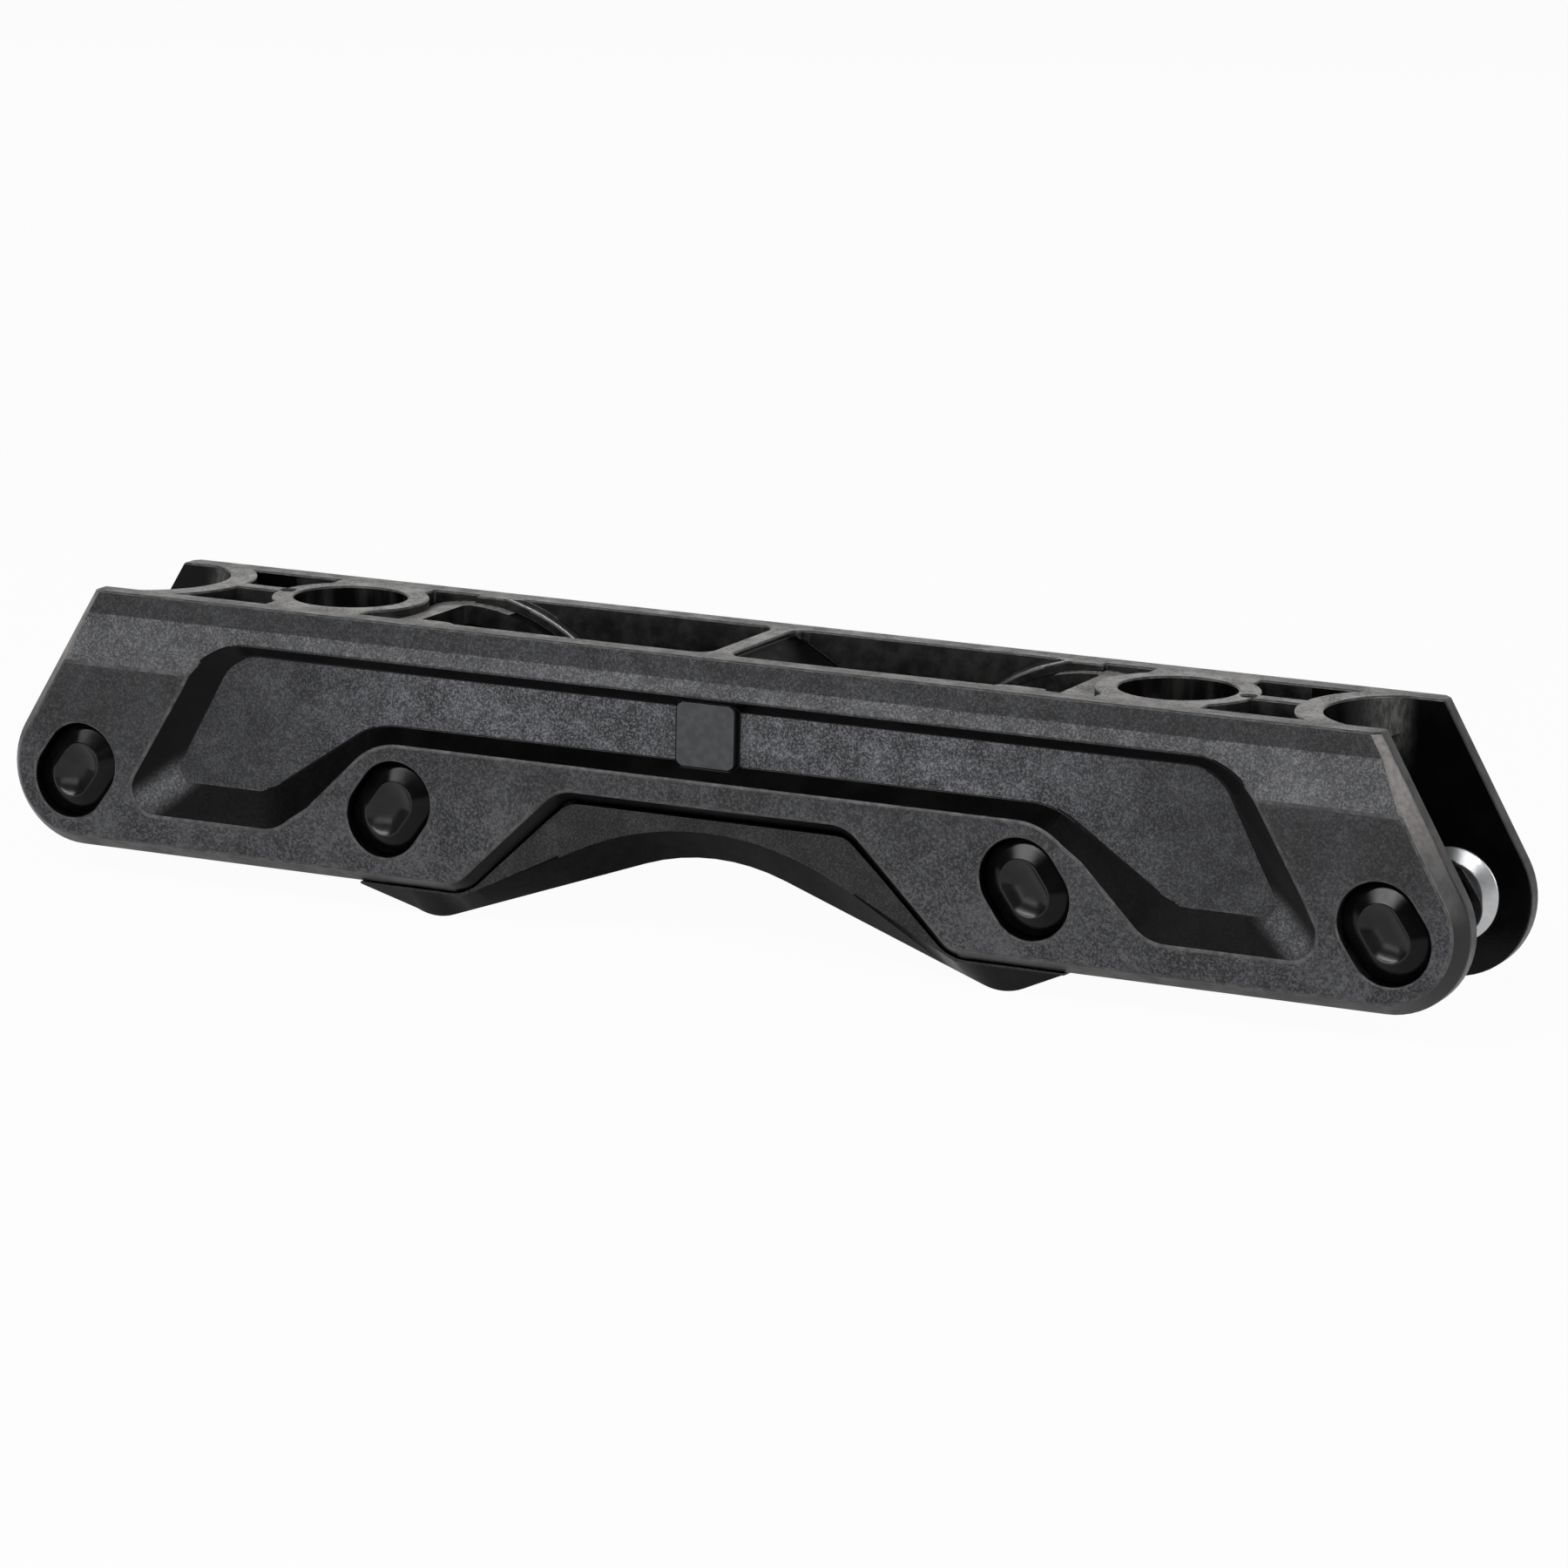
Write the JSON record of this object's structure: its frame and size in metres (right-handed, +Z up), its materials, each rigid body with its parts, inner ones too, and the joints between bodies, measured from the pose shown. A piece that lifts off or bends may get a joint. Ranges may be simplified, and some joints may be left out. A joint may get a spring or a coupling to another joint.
{
  "type": "inline skate frame",
  "caption": "Moulded inline skate frame with a separate grind block, pull-out axles in conical bushes and a bolt-on boot deck.",
  "frame": {"origin": "middle of the frame at the level of the lowest points of the grind block", "axes": "+X along the frame, +Y across it towards the axle screws, +Z up to the boot deck"},
  "size_m": [0.2882, 0.0412, 0.0548],
  "materials": {
    "moulding": "fine textured matt",
    "block": "fine textured matt",
    "axle": "gloss black",
    "screw": "black oxide",
    "bush": "bright turned",
    "spacer": "black",
    "insert": "turned"
  },
  "bodies": {
    "frame": {"frame_body": "moulding", "grind_block": "block", "bush_near_1": "bush", "bush_near_2": "bush", "bush_near_3": "bush", "bush_near_4": "bush", "bush_far_1": "bush", "bush_far_2": "bush", "bush_far_3": "bush", "bush_far_4": "bush", "spacer_near_1": "spacer", "spacer_near_2": "spacer", "spacer_near_3": "spacer", "spacer_near_4": "spacer", "spacer_far_1": "spacer", "spacer_far_2": "spacer", "spacer_far_3": "spacer", "spacer_far_4": "spacer", "block_screw_1": "screw", "block_screw_2": "screw", "block_insert_1": "insert", "block_insert_2": "insert"},
    "axle_1": {"axle_1": "axle"},
    "axle_2": {"axle_2": "axle"},
    "axle_3": {"axle_3": "axle"},
    "axle_4": {"axle_4": "axle"},
    "axle_screw_1": {"axle_screw_1": "screw"},
    "axle_screw_2": {"axle_screw_2": "screw"},
    "axle_screw_3": {"axle_screw_3": "screw"},
    "axle_screw_4": {"axle_screw_4": "screw"}
  },
  "joints": [
    {"name": "axle_1_pull", "type": "slide", "parent": "frame", "child": "axle_1", "axis": [0, -1, 0], "range_m": [0, 0.036]},
    {"name": "axle_2_pull", "type": "slide", "parent": "frame", "child": "axle_2", "axis": [0, -1, 0], "range_m": [0, 0.036]},
    {"name": "axle_3_pull", "type": "slide", "parent": "frame", "child": "axle_3", "axis": [0, -1, 0], "range_m": [0, 0.036]},
    {"name": "axle_4_pull", "type": "slide", "parent": "frame", "child": "axle_4", "axis": [0, -1, 0], "range_m": [0, 0.036]},
    {"name": "axle_screw_1_turn", "type": "hinge", "parent": "frame", "child": "axle_screw_1", "pos_m": [-0.1295, 0, 0.0205], "axis": [0, 1, 0], "continuous": true},
    {"name": "axle_screw_2_turn", "type": "hinge", "parent": "frame", "child": "axle_screw_2", "pos_m": [-0.063, 0, 0.0205], "axis": [0, 1, 0], "continuous": true},
    {"name": "axle_screw_3_turn", "type": "hinge", "parent": "frame", "child": "axle_screw_3", "pos_m": [0.063, 0, 0.0205], "axis": [0, 1, 0], "continuous": true},
    {"name": "axle_screw_4_turn", "type": "hinge", "parent": "frame", "child": "axle_screw_4", "pos_m": [0.1295, 0, 0.0205], "axis": [0, 1, 0], "continuous": true}
  ]
}
